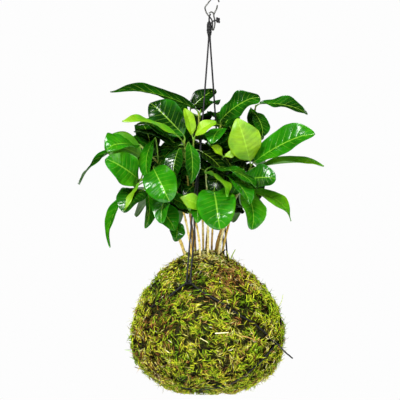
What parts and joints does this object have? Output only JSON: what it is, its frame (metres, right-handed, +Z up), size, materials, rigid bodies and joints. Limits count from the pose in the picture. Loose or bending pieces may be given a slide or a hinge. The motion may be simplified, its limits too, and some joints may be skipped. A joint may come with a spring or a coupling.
{
  "type": "hanging kokedama moss ball plant",
  "caption": "Moss-wrapped soil ball bound with black string, planted with young coffee plants, hung on cords from a knot and a bent wire hook.",
  "frame": {"origin": "the point on the inside of the wire hook's arch that bears on what it hangs from", "axes": "+Z up along the hanging line, +X to the right and -Y to the front, where the front harness knot is"},
  "size_m": [0.3106, 0.2427, 0.4956],
  "materials": {
    "coffee_leaf": "gloss",
    "moss": "matte",
    "damp_soil": "matte",
    "black_string": "matte",
    "steel_wire": "satin"
  },
  "bodies": {
    "root": {"soil_core": "damp_soil", "moss_skin": "moss", "binding_string": "black_string", "hang_cord_front_a": "black_string", "hang_cord_front_b": "black_string", "hang_cord_back_a": "black_string", "hang_cord_back_b": "black_string", "top_knot": "black_string", "wire_hook": "steel_wire", "coffee_stem_01": "coffee_leaf", "coffee_stem_02": "coffee_leaf", "coffee_stem_03": "coffee_leaf", "coffee_stem_04": "coffee_leaf", "coffee_stem_05": "coffee_leaf", "coffee_stem_06": "coffee_leaf", "coffee_stem_07": "coffee_leaf", "coffee_stem_08": "coffee_leaf", "coffee_stem_09": "coffee_leaf", "coffee_stem_10": "coffee_leaf", "coffee_stem_11": "coffee_leaf", "coffee_stem_12": "coffee_leaf", "coffee_stem_13": "coffee_leaf", "coffee_stem_14": "coffee_leaf"}
  },
  "joints": []
}
